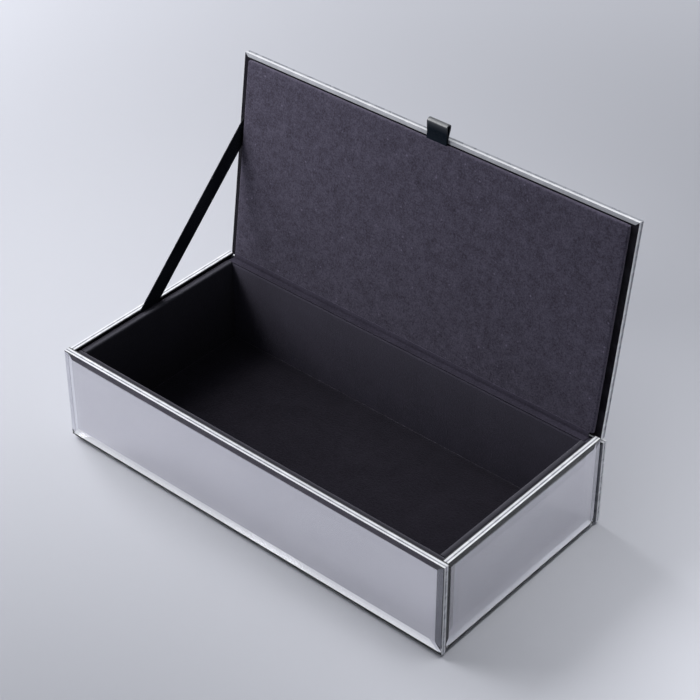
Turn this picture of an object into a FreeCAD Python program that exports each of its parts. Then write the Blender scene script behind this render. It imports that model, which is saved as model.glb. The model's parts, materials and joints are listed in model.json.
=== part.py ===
import FreeCAD, Part
import math
import os
import re
import Sketcher

# Mirrored glass jewelry box with a velvet-lined inner case and a hinged lid, shown open.
# Millimetres. X runs along the front, -Y is the front, +Z is up.
# The origin is the middle of the sole, on the surface that the box stands on.

SIZES = {
    # Outside of the box and its glass
    "box_length": 300.0,
    "box_depth": 153.0,
    "pane_height": 66.0,
    "pane_thickness": 5.0,
    "bevel_width": 10.0,
    "bevel_depth": 0.55,
    "pane_joint": 0.3,
    "side_pane_lid_gap": 0.55,
    "back_pane_drop": 4.5,
    # Sole
    "stand_height": 3.0,
    "stand_inset": 7.0,
    # Inner case
    "front_board": 2.8,
    "side_board": 3.6,
    "back_board": 6.6,
    "base_board": 4.0,
    "velvet": 1.0,
    "rim_drop": 1.5,
    "back_rim_gap": 1.35,
    "rim_round_share": 0.6,
    "floor_pad": 2.5,
    "floor_pad_gap": 0.3,
    "floor_round_share": 0.4,
    # Mounting tape behind the glass
    "tape_low": 14.0,
    "tape_ribbon_gap": 8.0,
    "tape_end_inset": 12.0,
    # Lid
    "lid_ledge": 9.8,
    "lid_side_reveal": 2.0,
    "lid_front_reveal": 0.7,
    "lid_aside": 1.0,
    "lid_seat": 0.3,
    "hinge_drop": 0.85,
    "open_angle": 97.75,
    "lid_tape": 0.4,
    "lid_tape_inset": 20.0,
    "lid_tape_tab_gap": 6.0,
    "lid_board": 1.4,
    "pad_seam_inset": 1.0,
    "pad_front_inset": 3.4,
    "pad_hinge_inset": 3.0,
    "pad_corner": 1.6,
    "pad_round_share": 0.7,
    # Pull tab
    "tab_width": 15.0,
    "tab_offset": 6.5,
    "tab_reach": 10.0,
    "tab_tail": 14.0,
    "tab_loop": 4.4,
    "tab_clear": 0.2,
    "tab_face_clear": 0.05,
    # Cloth hinge
    "hinge_cloth": 0.7,
    "hinge_bend": 0.9,
    "hinge_set_back": 0.1,
    "hinge_flap_inset": 0.2,
    "hinge_end_inset": 1.2,
    # Stay ribbon
    "ribbon_width": 12.0,
    "ribbon_thickness": 0.4,
    "ribbon_room": 0.3,
    "ribbon_lid_reach": 89.0,
    "ribbon_box_reach": 73.6,
    "ribbon_tuck": 14.0,
    "ribbon_end_gap": 0.1,
    # Room that a cut runs past the face it starts from
    "overrun": 2.0,
}

# Places that several pieces share, as formulas of the sizes
PANE_TOP = "(stand_height + pane_height)"
HALF_LENGTH = "(box_length / 2)"
HALF_DEPTH = "(box_depth / 2)"
SEAM = "(ribbon_thickness + ribbon_room)"
CASE_X = f"({HALF_LENGTH} - pane_thickness - {SEAM})"
CASE_Y = f"({HALF_DEPTH} - pane_thickness - {SEAM})"
BASE_TOP = "(stand_height + base_board)"
RIM = f"({PANE_TOP} - rim_drop)"
BACK_RIM = f"({PANE_TOP} - hinge_drop - back_rim_gap)"
ROOM_X = f"({CASE_X} - side_board - velvet)"
ROOM_FRONT = f"(-{CASE_Y} + front_board + velvet)"
ROOM_BACK = f"({CASE_Y} - back_board - velvet)"

# The lid is drawn closed, measured from the hinge axis: Y runs back, Z runs up
LID_X = f"({HALF_LENGTH} - lid_side_reveal)"
LID_FRONT = "(-(box_depth - lid_ledge - lid_front_reveal))"
LID_UNDER = "(lid_seat + hinge_drop)"
LID_BOARD_LOW = f"({LID_UNDER} + velvet)"
LID_BOARD_TOP = f"({LID_BOARD_LOW} + lid_board)"
LID_GLASS = f"({LID_BOARD_TOP} + lid_tape)"
PAD_X = f"({CASE_X} - pad_seam_inset)"
PAD_FRONT = f"({LID_FRONT} + pad_front_inset)"
PAD_BACK = "(-pad_hinge_inset)"

doc = FreeCAD.newDocument("glass_jewelry_box")
sheet = doc.addObject("Spreadsheet::Sheet", "Sizes")
for row, (name, value) in enumerate(SIZES.items(), 1):
    sheet.set(f"A{row}", name)
    sheet.set(f"B{row}", str(value))
    sheet.setAlias(f"B{row}", name)
doc.recompute()

pieces = []


def linked(formula):
    """The formula with each of its words, other than min, read from the sheet."""
    return re.sub(r"\b(?!min\b)[a-z_]+", lambda word: "Sizes." + word.group(0), formula)


def size(name):
    """One size as the sheet holds it."""
    return float(sheet.get(name))


def vector(x, y, z):
    return FreeCAD.Vector(x, y, z)


def new_body(label):
    body = doc.addObject("PartDesign::Body", label)
    body.Label = label
    pieces.append(body)
    return body


def outline(body, plane, name, corners, offset="0"):
    """A closed sketch through corners given as formulas, on one of the body's own planes."""
    sketch = body.newObject("Sketcher::SketchObject", name)
    support = next(part for part in body.Origin.OriginFeatures if part.Role == plane)
    sketch.AttachmentSupport = [(support, "")]
    sketch.MapMode = "FlatFace"
    sketch.setExpression("AttachmentOffset.Base.z", linked(offset))
    count = len(corners)
    turn = 2 * math.pi / count
    start = [vector(math.cos((i + 0.5) * turn), math.sin((i + 0.5) * turn), 0) for i in range(count)]
    for i in range(count):
        sketch.addGeometry(Part.LineSegment(start[i], start[(i + 1) % count]), False)
    for i in range(count):
        sketch.addConstraint(Sketcher.Constraint("Coincident", i, 2, (i + 1) % count, 1))
    for i, (across, along) in enumerate(corners):
        places = (("DistanceX", "across", across, start[i].x), ("DistanceY", "along", along, start[i].y))
        for kind, word, formula, value in places:
            index = sketch.addConstraint(Sketcher.Constraint(kind, i, 1, value))
            sketch.renameConstraint(index, f"{word}_{i}")
            sketch.setExpression(f"Constraints.{word}_{i}", linked(formula))
    return sketch


def rectangle(body, name, x, y, offset="0"):
    corners = [(x[0], y[0]), (x[1], y[0]), (x[1], y[1]), (x[0], y[1])]
    return outline(body, "XY_Plane", name, corners, offset)


def pad(body, sketch, name, length):
    feature = body.newObject("PartDesign::Pad", name)
    feature.Profile = sketch
    feature.setExpression("Length", linked(length))
    return feature


def pocket(body, sketch, name, depth):
    """A cut down from the sketch, which has to take material away."""
    doc.recompute()
    before = body.Shape.Volume
    feature = body.newObject("PartDesign::Pocket", name)
    feature.Profile = sketch
    feature.setExpression("Length", linked(depth))
    doc.recompute()
    if body.Shape.Volume >= before:
        raise RuntimeError(f"{name} of {body.Label} cuts nothing")
    return feature


def rounded(body, base, name, chosen, radius):
    """A fillet on the edges of the base feature that the test picks."""
    doc.recompute()
    edges = [f"Edge{i}" for i, edge in enumerate(base.Shape.Edges, 1) if chosen(edge)]
    feature = body.newObject("PartDesign::Fillet", name)
    feature.Base = (base, edges)
    feature.setExpression("Radius", linked(radius))
    return feature


def place(body, x, y, z):
    for axis, formula in zip("xyz", (x, y, z)):
        body.setExpression(f"Placement.Base.{axis}", linked(formula))


def block(label, x, y, z):
    """A plain board between low and high formulas on each axis."""
    body = new_body(label)
    pad(body, rectangle(body, "Outline", x, y, z[0]), "Board", f"{z[1]} - {z[0]}")
    return body


def bevelled_pane(label, x, y, low):
    """Glass with its silvered face down at low, and a bevel round its upper face."""
    body = new_body(label)
    edge = f"({low} + pane_thickness - bevel_depth)"
    pad(body, rectangle(body, "Outline", x, y, low), "Plate", "pane_thickness - bevel_depth")
    foot = rectangle(body, "BevelFoot", x, y, edge)
    face_x = (f"{x[0]} + bevel_width", f"{x[1]} - bevel_width")
    face_y = (f"{y[0]} + bevel_width", f"{y[1]} - bevel_width")
    face = rectangle(body, "Face", face_x, face_y, f"{low} + pane_thickness")
    bevel = body.newObject("PartDesign::AdditiveLoft", "Bevel")
    bevel.Profile = foot
    bevel.Sections = [face]
    bevel.Ruled = True
    return body


def wall_lining(label, plane, outer, board, inner, rim, ends):
    """Velvet over a wall's inner face and its rim, drawn in section and run between the ends."""
    body = new_body(label)
    under = f"({rim} - velvet)"
    over_rim = [(outer, under), (outer, rim), (inner, rim)]
    corners = over_rim + [(inner, BASE_TOP), (board, BASE_TOP), (board, under)]
    run = pad(body, outline(body, plane, "Section", corners, ends[0]), "Lining", f"{ends[1]} - {ends[0]}")
    doc.recompute()
    top = max(vertex.Z for vertex in run.Shape.Vertexes)

    def along_rim(edge):
        """The two long edges of the rim."""
        level = all(math.isclose(vertex.Z, top) for vertex in edge.Vertexes)
        across = edge.BoundBox.XLength < edge.BoundBox.YLength
        return level and across == (plane == "XZ_Plane")

    rounded(body, run, "RimRound", along_rim, "velvet * rim_round_share")
    return body


def plain_feature(label, shape):
    feature = doc.addObject("Part::Feature", label)
    feature.Label = label
    feature.Shape = shape
    pieces.append(feature)
    return feature


def both(formula):
    """Low and high ends, the same distance each side of the middle."""
    return f"(-{formula})", formula


# Sole and bottom of the inner case
sole_x = both(f"({HALF_LENGTH} - stand_inset)")
sole_y = both(f"({HALF_DEPTH} - stand_inset)")
block("base_felt", sole_x, sole_y, ("0", "stand_height"))
block("base_board", both(CASE_X), both(CASE_Y), ("stand_height", BASE_TOP))

# Walls of the inner case: the long boards run the whole length, the short ones stand between them
BOARD_FRONT = f"(-{CASE_Y} + front_board)"
BOARD_BACK = f"({CASE_Y} - back_board)"
BOARD_X = f"({CASE_X} - side_board)"
WALL_TOP = f"({RIM} - velvet)"
block("front_wall_board", both(CASE_X), (f"(-{CASE_Y})", BOARD_FRONT), (BASE_TOP, WALL_TOP))
block("back_wall_board", both(CASE_X), (BOARD_BACK, CASE_Y), (BASE_TOP, f"({BACK_RIM} - velvet)"))
block("left_wall_board", (f"(-{CASE_X})", f"(-{BOARD_X})"), (ROOM_FRONT, ROOM_BACK), (BASE_TOP, WALL_TOP))
block("right_wall_board", (BOARD_X, CASE_X), (ROOM_FRONT, ROOM_BACK), (BASE_TOP, WALL_TOP))

# Velvet over walls and rim
side_ends = (f"(-{ROOM_BACK})", f"(-{ROOM_FRONT})")
wall_lining("front_lining", "YZ_Plane", f"(-{CASE_Y})", BOARD_FRONT, ROOM_FRONT, RIM, both(CASE_X))
wall_lining("back_lining", "YZ_Plane", CASE_Y, BOARD_BACK, ROOM_BACK, BACK_RIM, both(CASE_X))
wall_lining("left_lining", "XZ_Plane", f"(-{CASE_X})", f"(-{BOARD_X})", f"(-{ROOM_X})", RIM, side_ends)
wall_lining("right_lining", "XZ_Plane", CASE_X, BOARD_X, ROOM_X, RIM, side_ends)

# Velvet-covered floor, with a soft upper edge
floor = new_body("floor_pad")
floor_y = (f"({ROOM_FRONT} + floor_pad_gap)", f"({ROOM_BACK} - floor_pad_gap)")
floor_sketch = rectangle(floor, "Outline", both(f"({ROOM_X} - floor_pad_gap)"), floor_y, BASE_TOP)
floor_plate = pad(floor, floor_sketch, "Pad", "floor_pad")
doc.recompute()
floor_top = max(vertex.Z for vertex in floor_plate.Shape.Vertexes)
rounded(floor, floor_plate, "SoftEdge",
        lambda edge: math.isclose(edge.BoundBox.ZMin, floor_top), "floor_pad * floor_round_share")

# Glass of the four sides, drawn lying with its outer face up and then stood on edge
# The side panes stop short of the open lid and of the back pane
side_front = f"(-{HALF_DEPTH} + pane_thickness + pane_joint)"
behind_lid = f"{HALF_DEPTH} - lid_ledge + {LID_GLASS} - side_pane_lid_gap"
side_back = f"min({behind_lid}; {HALF_DEPTH} - pane_thickness - pane_joint)"
side_half = f"(({side_back} - {side_front}) / 2)"
side_middle = f"({side_back} + {side_front}) / 2"
whole_height = ("0", "pane_height")
low_height = ("0", "(pane_height - back_pane_drop)")
up = vector(0, 0, 1)
left, right, front, back = vector(-1, 0, 0), vector(1, 0, 0), vector(0, -1, 0), vector(0, 1, 0)
stood_panes = (
    ("front_pane", both(HALF_LENGTH), whole_height, right, front, ("0", f"-{HALF_DEPTH} + pane_thickness")),
    ("back_pane", both(HALF_LENGTH), low_height, left, back, ("0", f"{HALF_DEPTH} - pane_thickness")),
    ("left_pane", both(side_half), whole_height, front, left,
     (f"-{HALF_LENGTH} + pane_thickness", side_middle)),
    ("right_pane", both(side_half), whole_height, back, right,
     (f"{HALF_LENGTH} - pane_thickness", side_middle)),
)
for label, width, height, along, outward, (x, y) in stood_panes:
    pane = bevelled_pane(label, width, height, "0")
    pane.Placement = FreeCAD.Placement(vector(0, 0, 0), FreeCAD.Rotation(along, up, outward))
    place(pane, x, y, "stand_height")

# Mounting tape in the seam between glass and boards
tape_z = ("(stand_height + tape_low)", f"({PANE_TOP} - ribbon_tuck - tape_ribbon_gap)")
tape_x = both(f"({CASE_X} - tape_end_inset)")
tape_y = (f"({ROOM_FRONT} + tape_end_inset)", f"({ROOM_BACK} - tape_end_inset)")
block("front_pane_tape", tape_x, (f"(-{CASE_Y} - {SEAM})", f"(-{CASE_Y})"), tape_z)
block("back_pane_tape", tape_x, (CASE_Y, f"({CASE_Y} + {SEAM})"), tape_z)
block("left_pane_tape", (f"(-{CASE_X} - {SEAM})", f"(-{CASE_X})"), tape_y, tape_z)
block("right_pane_tape", (CASE_X, f"({CASE_X} + {SEAM})"), tape_y, tape_z)

# Lid: glass, tape, board and the velvet wrapped over the board
lid_pieces = [bevelled_pane("lid_pane", both(LID_X), (LID_FRONT, "0"), LID_GLASS)]
tape_span = both(f"({PAD_X} - lid_tape_inset)")
tape_run = (f"({PAD_FRONT} + tab_tail + lid_tape_tab_gap)", f"({PAD_BACK} - lid_tape_inset)")
lid_pieces.append(block("lid_tape", tape_span, tape_run, (LID_BOARD_TOP, LID_GLASS)))

notch_x = ("(tab_offset - tab_width / 2 - tab_clear)", "(tab_offset + tab_width / 2 + tab_clear)")
notch_y = (f"({PAD_FRONT} - overrun)", f"({PAD_FRONT} + tab_tail + tab_clear)")
board_span = both(f"({PAD_X} - velvet)")
board_run = (f"({PAD_FRONT} + velvet)", f"({PAD_BACK} - velvet)")
lid_board = block("lid_board", board_span, board_run, (LID_BOARD_LOW, LID_BOARD_TOP))
pocket(lid_board, rectangle(lid_board, "TabNotch", notch_x, notch_y, LID_BOARD_TOP), "TabCut", "lid_board")
lid_pieces.append(lid_board)

lid_lining = block("lid_lining", both(PAD_X), (PAD_FRONT, PAD_BACK), (LID_UNDER, LID_GLASS))
wrap = rectangle(lid_lining, "BoardRoom", board_span, board_run, LID_GLASS)
pocket(lid_lining, wrap, "BoardPocket", "lid_board + lid_tape")
skirt_notch = (f"({PAD_FRONT} - overrun)", f"({PAD_FRONT} + velvet + overrun)")
tab_way = rectangle(lid_lining, "TabWay", notch_x, skirt_notch, LID_GLASS)
skirt = pocket(lid_lining, tab_way, "TabCut", "lid_board + lid_tape")
seam = size("ribbon_thickness") + size("ribbon_room")
half_pad = size("box_length") / 2 - size("pane_thickness") - seam - size("pad_seam_inset")
lid_depth = size("box_depth") - size("lid_ledge") - size("lid_front_reveal")


def pad_corner(edge):
    """The four upright edges at the lining's outer corners."""
    box = edge.BoundBox
    upright = math.isclose(box.XLength, 0, abs_tol=box.ZLength) and box.ZLength > box.YLength
    return upright and math.isclose(abs(box.Center.x), half_pad)


lid_corners = rounded(lid_lining, skirt, "Corners", pad_corner, "pad_corner")
doc.recompute()
pad_face = min(vertex.Z for vertex in lid_corners.Shape.Vertexes)
rounded(lid_lining, lid_corners, "SoftEdge",
        lambda edge: math.isclose(edge.BoundBox.ZMax, pad_face), "velvet * pad_round_share")
lid_pieces.append(lid_lining)

# Pull tab: a leather strip folded into a loop, its two tails side by side under the glass.
# Drawn in section, out from the lid's front edge and up, and run across the tab's width.
tail_room = size("lid_board") + size("lid_tape")
leather = tail_room / 2 - size("tab_face_clear")
lid_glass = size("lid_seat") + size("hinge_drop") + size("velvet") + tail_room
tab_level = lid_glass - tail_room / 2
loop_radius = size("tab_loop") / 2
loop_y = -lid_depth - size("tab_reach") + loop_radius
neck_y = -lid_depth
tail_y = -lid_depth + size("pad_front_inset") + size("tab_tail")
tab_x = size("tab_offset") - size("tab_width") / 2


def teardrop(radius, half_neck, neck):
    """A round nose that runs back along tangents to a neck."""
    reach = neck - loop_y
    lean = math.atan2(half_neck, reach)
    touch = math.acos(radius / math.hypot(half_neck, reach)) + lean
    upper = vector(tab_x, loop_y + radius * math.cos(touch), tab_level + radius * math.sin(touch))
    lower = vector(tab_x, upper.y, 2 * tab_level - upper.z)
    nose = Part.Arc(upper, vector(tab_x, loop_y - radius, tab_level), lower).toShape()
    return upper, nose, lower


upper, nose, lower = teardrop(loop_radius, leather, neck_y)
outer_points = [vector(tab_x, neck_y, tab_level - leather), vector(tab_x, tail_y, tab_level - leather),
                vector(tab_x, tail_y, tab_level + leather), vector(tab_x, neck_y, tab_level + leather)]
outer_edges = [nose, Part.makeLine(lower, outer_points[0])]
outer_edges += [Part.makeLine(a, b) for a, b in zip(outer_points, outer_points[1:])]
outer_edges.append(Part.makeLine(outer_points[-1], upper))
hole_start = neck_y - leather
inner_upper, inner_nose, inner_lower = teardrop(loop_radius - leather, 0, hole_start)
inner_tip = vector(tab_x, hole_start, tab_level)
inner_edges = [inner_nose, Part.makeLine(inner_lower, inner_tip), Part.makeLine(inner_tip, inner_upper)]
tab_face = Part.Face([Part.Wire(Part.__sortEdges__(outer_edges)), Part.Wire(Part.__sortEdges__(inner_edges))])
tab_face.validate()
pull_tab = plain_feature("pull_tab", tab_face.extrude(vector(size("tab_width"), 0, 0)))
lid_pieces.append(pull_tab)

# The lid turns about the hinge axis, under its back edge, and stands open, a little to the right
axis_y = size("box_depth") / 2 - size("lid_ledge")
axis_z = size("stand_height") + size("pane_height") - size("hinge_drop")
open_turn = FreeCAD.Rotation(left, size("open_angle"))
for piece in lid_pieces:
    piece.Placement = FreeCAD.Placement(vector(0, axis_y, axis_z), open_turn)
    place(piece, "lid_aside", f"{HALF_DEPTH} - lid_ledge", f"{PANE_TOP} - hinge_drop")

# Directions on the open lid: along it from the hinge to its front edge, and out through its glass
lean_back = math.radians(size("open_angle")) - math.pi / 2
lid_along = vector(0, math.sin(lean_back), math.cos(lean_back))
lid_outward = vector(0, math.cos(lean_back), -math.sin(lean_back))
axis = vector(0, axis_y, axis_z)


def run_along_x(edges, start, length):
    """A closed section in the YZ plane, run along X from start."""
    face = Part.Face(Part.Wire(Part.__sortEdges__(edges)))
    face.translate(vector(start, 0, 0))
    return face.extrude(vector(length, 0, 0))


# Cloth hinge: lies on the back rim, turns up behind the axis and meets the lid's lining
cloth = size("hinge_cloth")
rim_level = axis_z - size("back_rim_gap")
bend_middle = rim_level + cloth / 2 + size("hinge_bend")
rise = size("lid_seat") + size("hinge_drop") + size("hinge_set_back") + cloth / 2
bend_y = (rise - size("hinge_bend") + lid_outward.z * (axis_z - bend_middle)) / lid_outward.y
bend_centre = vector(0, axis_y + bend_y, bend_middle)
back_board_face = size("box_depth") / 2 - size("pane_thickness") - seam - size("back_board")
flap_y = back_board_face - size("velvet") + size("hinge_flap_inset")
meets_lid = axis + lid_along * size("pad_hinge_inset")


def cloth_side(radius, offset):
    """One face of the cloth: along the rim, round the bend and up to the lid."""
    foot = vector(0, bend_centre.y, bend_centre.z - radius)
    turn_out = bend_centre + lid_outward * radius
    half_turn = math.pi / 4 - lean_back / 2
    middle = bend_centre + vector(0, math.sin(half_turn), -math.cos(half_turn)) * radius
    flap = vector(0, flap_y, foot.z)
    head = meets_lid + lid_outward * offset
    return flap, head, [Part.makeLine(flap, foot), Part.Arc(foot, middle, turn_out).toShape(),
                        Part.makeLine(turn_out, head)]


low_flap, low_head, low_edges = cloth_side(size("hinge_bend") + cloth / 2, rise + cloth / 2)
high_flap, high_head, high_edges = cloth_side(size("hinge_bend") - cloth / 2, rise - cloth / 2)
cloth_ends = [Part.makeLine(low_flap, high_flap), Part.makeLine(low_head, high_head)]
half_cloth = half_pad - size("hinge_end_inset")
plain_feature("hinge_cloth", run_along_x(low_edges + high_edges + cloth_ends, -half_cloth, 2 * half_cloth))

# Stay ribbon: rises out of the left seam, flat against the side, to the back of the lid's glass
seam_middle = -size("box_length") / 2 + size("pane_thickness") + seam / 2
ribbon_x = seam_middle - size("ribbon_thickness") / 2
glass_face = lid_glass - size("ribbon_end_gap")
ribbon_top = axis + lid_along * size("ribbon_lid_reach") + lid_outward * glass_face
ribbon_foot = vector(0, axis_y - size("ribbon_box_reach"), size("stand_height") + size("pane_height"))
pull = (ribbon_top - ribbon_foot).normalize()
across = vector(0, -pull.z, pull.y) * (size("ribbon_width") / 2)
tuck = vector(0, 0, -size("ribbon_tuck"))


def slid_along(point, target, normal):
    """The point moved along the ribbon onto the plane through target."""
    return point + pull * ((target - point).dot(normal) / pull.dot(normal))


ribbon_corners = [slid_along(ribbon_foot + across, ribbon_foot + tuck, up),
                  slid_along(ribbon_foot - across, ribbon_foot + tuck, up),
                  slid_along(ribbon_top - across, ribbon_top, lid_outward),
                  slid_along(ribbon_top + across, ribbon_top, lid_outward)]
ribbon_edges = [Part.makeLine(a, b) for a, b in zip(ribbon_corners, ribbon_corners[1:] + ribbon_corners[:1])]
plain_feature("stay_ribbon", run_along_x(ribbon_edges, ribbon_x, size("ribbon_thickness")))
free_length = (ribbon_top - ribbon_foot).Length
whole_length = free_length + size("ribbon_tuck") / pull.z
print(f"ribbon: {free_length:.1f} mm between seam and lid, {whole_length:.1f} mm in all")
print(f"hinge axis at y {axis_y:.2f}, z {axis_z:.2f}")

doc.recompute()
for thing in doc.Objects:
    if "Invalid" in thing.State or "Error" in thing.State:
        raise RuntimeError(f"{thing.Label} failed: {thing.State}")
for piece in pieces:
    if piece.Shape.isNull() or not piece.Shape.isValid() or not piece.Shape.Solids:
        raise RuntimeError(f"{piece.Label} has no valid solid")

os.makedirs("parts", exist_ok=True)
for piece in pieces:
    piece.Shape.exportStep(os.path.join("parts", piece.Label + ".step"))
print(f"{len(pieces)} pieces")
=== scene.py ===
import json
import math
import bmesh
import bpy
from mathutils import Matrix, Vector, noise


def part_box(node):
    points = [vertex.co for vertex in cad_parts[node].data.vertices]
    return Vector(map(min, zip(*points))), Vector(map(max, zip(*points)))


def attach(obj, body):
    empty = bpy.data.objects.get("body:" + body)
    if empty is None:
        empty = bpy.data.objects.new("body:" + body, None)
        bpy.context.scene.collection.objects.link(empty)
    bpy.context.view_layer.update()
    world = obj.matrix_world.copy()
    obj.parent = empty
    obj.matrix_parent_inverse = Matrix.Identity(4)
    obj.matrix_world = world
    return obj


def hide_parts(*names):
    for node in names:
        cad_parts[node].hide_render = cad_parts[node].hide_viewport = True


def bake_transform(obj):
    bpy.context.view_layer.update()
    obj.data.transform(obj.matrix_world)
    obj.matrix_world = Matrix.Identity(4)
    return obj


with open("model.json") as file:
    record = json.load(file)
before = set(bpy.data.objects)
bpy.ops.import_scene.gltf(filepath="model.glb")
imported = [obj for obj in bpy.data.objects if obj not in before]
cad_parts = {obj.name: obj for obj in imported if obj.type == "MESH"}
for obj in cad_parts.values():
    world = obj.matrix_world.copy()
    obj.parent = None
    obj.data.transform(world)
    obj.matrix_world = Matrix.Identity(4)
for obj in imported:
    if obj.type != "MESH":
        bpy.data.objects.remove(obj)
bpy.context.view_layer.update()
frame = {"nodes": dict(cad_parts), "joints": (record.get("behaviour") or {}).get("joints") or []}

# Mirrored glass jewelry box, open: bevelled silvered panes round a black velvet case.
# Metres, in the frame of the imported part: X along the front, -Y front, Z up.

MM = 0.001
X, Y, Z = Vector((1, 0, 0)), Vector((0, 1, 0)), Vector((0, 0, 1))

# Hinge of the lid, and the turns between shut and open
HINGE = frame["joints"][0]
AXIS = Vector(HINGE["pos_m"])
OPEN_ANGLE = math.radians(HINGE["range_deg"][1])
OPEN_LID = Matrix.Translation(AXIS) @ Matrix.Rotation(-OPEN_ANGLE, 4, "X") @ Matrix.Translation(-AXIS)
SHUT_LID = OPEN_LID.inverted()
LID_ALONG = Vector((0, -math.cos(OPEN_ANGLE), math.sin(OPEN_ANGLE)))
LID_OUTWARD = Vector((0, math.sin(OPEN_ANGLE), math.cos(OPEN_ANGLE)))

# Glass: its bevel, and the bands of its edge from the back to the face
BEVEL_WIDTH = 10 * MM
BEVEL_DEPTH = 0.55 * MM
EDGE_LAP = 0.7 * MM
EDGE_SEAL = 1.35 * MM
EDGE_BRIGHT = 1.15 * MM
ARRIS = 0.35 * MM
TAPE_CLEAR = 0.05 * MM
WELD = 0.01 * MM

# Silver and paint behind the glass: border strips, which carry painted shade and painted highlights, and the
# tilted strip along the foot
SILVER_GAP = 0.04 * MM
BACK_LIP = 2.4 * MM
TOP_MARGIN = 6.3 * MM
SIDE_MARGIN = 4.4 * MM
FRONT_MARGIN = 6.3 * MM
FACET_WIDTH = 5.8 * MM
FACET_LIFT = 1.12 * MM
FRONT_LIFT = 1.35 * MM
FACET_HIGHLIGHT_REACH = 4.5 * MM
OUTER_LINE = 0.499

# Velvet and felt: thickness, rounded edges, crowns, and how uneven the cloth lies
VELVET = 1.0 * MM
RIM_OUTER_ROUND = 0.6 * MM
RIM_INNER_ROUND = 1.5 * MM
RIM_WAVE = 0.10 * MM
PAD_ROUND = 0.9 * MM
PAD_CROWN = 0.35 * MM
PAD_WAVE = 0.05 * MM
FLOOR_ROUND = 1.2 * MM
FLOOR_CROWN = 0.7 * MM
FLOOR_WAVE = 0.08 * MM
FELT_ROUND = 0.8 * MM
STRIP_RIPPLE = 14 * MM
PANEL_RIPPLE = 9 * MM
RIPPLE_GAIN = 4
SQUARE_DROP = 0.5
LEAST_DROP = 0.001 * MM

# Hinge cloth, ribbon and leather
HINGE_CLOTH = 0.7 * MM
HINGE_BEND = 0.9 * MM
HINGE_CLEAR = 0.1 * MM
HINGE_WAVE = 0.04 * MM
HINGE_SHADE_RISE = 3 * MM
RIBBON_WIDTH = 12 * MM
RIBBON_UV = 10 * MM
RIBBON_INNER_SHARE = 0.8
LEATHER = 0.85 * MM
LEATHER_SHARE = 0.96
LEATHER_EDGE = 0.2 * MM
POLISH_FULL = 1.2
POLISH_REACH = 2.6

# Grids and steps of the meshes
LINING_STEPS = 96
HINGE_STEPS = 60
FLAP_STEPS = 4
TAB_STEPS = 14
ROUND_STEPS = 5
FLOOR_CELLS = (72, 34)
PAD_CELLS = (110, 52)
FELT_CELLS = (40, 20)
RIBBON_CELLS = (8, 90)
DRAPE_FRAMES = 14


def shut_box(node):
    """Lowest and highest corner of one of the lid's nodes, with the lid shut."""
    axes = list(zip(*(SHUT_LID @ vertex.co for vertex in frame["nodes"][node].data.vertices)))
    return Vector([min(axis) for axis in axes]), Vector([max(axis) for axis in axes])


def clamped(value):
    return min(1.0, max(0.0, value))


# Node helpers

def feed(tree, socket, value):
    """Links an input to another node's output, or sets it to a value."""
    if isinstance(value, bpy.types.NodeSocket):
        tree.links.new(value, socket)
    else:
        socket.default_value = value


def add_node(tree, kind, inputs=None, **settings):
    """A node with its settings made and its named inputs fed."""
    made = tree.nodes.new(kind)
    for name, value in settings.items():
        setattr(made, name, value)
    for name, value in (inputs or {}).items():
        feed(tree, made.inputs[name], value)
    return made


def math_node(tree, operation, *values):
    made = add_node(tree, "ShaderNodeMath", operation=operation)
    for socket, value in zip(made.inputs, values):
        feed(tree, socket, value)
    return made.outputs[0]


def ranged(tree, value, low, high, to_low=0.0, to_high=1.0, **settings):
    """A value taken from one range to another, and held inside it."""
    span = {"Value": value, "From Min": low, "From Max": high, "To Min": to_low, "To Max": to_high}
    return add_node(tree, "ShaderNodeMapRange", span, **settings).outputs["Result"]


def colour_mix(tree, share, first, second, **settings):
    """Two colours mixed, each a node's output or three numbers."""
    mix = add_node(tree, "ShaderNodeMix", {"Factor": share}, data_type="RGBA", **settings)
    for socket, colour in zip(mix.inputs[6:8], (first, second)):
        feed(tree, socket, colour if isinstance(colour, bpy.types.NodeSocket) else (*colour, 1))
    return mix.outputs[2]


def object_place(tree):
    return add_node(tree, "ShaderNodeTexCoord").outputs["Object"]


def new_group(name, kind, inputs, outputs):
    """A node group with named inputs and outputs, and its two end nodes."""
    tree = bpy.data.node_groups.new(name, kind)
    for socket_name, socket_type, value in inputs:
        socket = tree.interface.new_socket(socket_name, in_out="INPUT", socket_type=socket_type)
        if value is not None:
            socket.default_value = value
    for socket_name, socket_type in outputs:
        tree.interface.new_socket(socket_name, in_out="OUTPUT", socket_type=socket_type)
    return tree, tree.nodes.new("NodeGroupInput"), tree.nodes.new("NodeGroupOutput")


# Shader groups that several finishes share

FLOAT, GEOMETRY, MATERIAL = "NodeSocketFloat", "NodeSocketGeometry", "NodeSocketMaterial"


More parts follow.
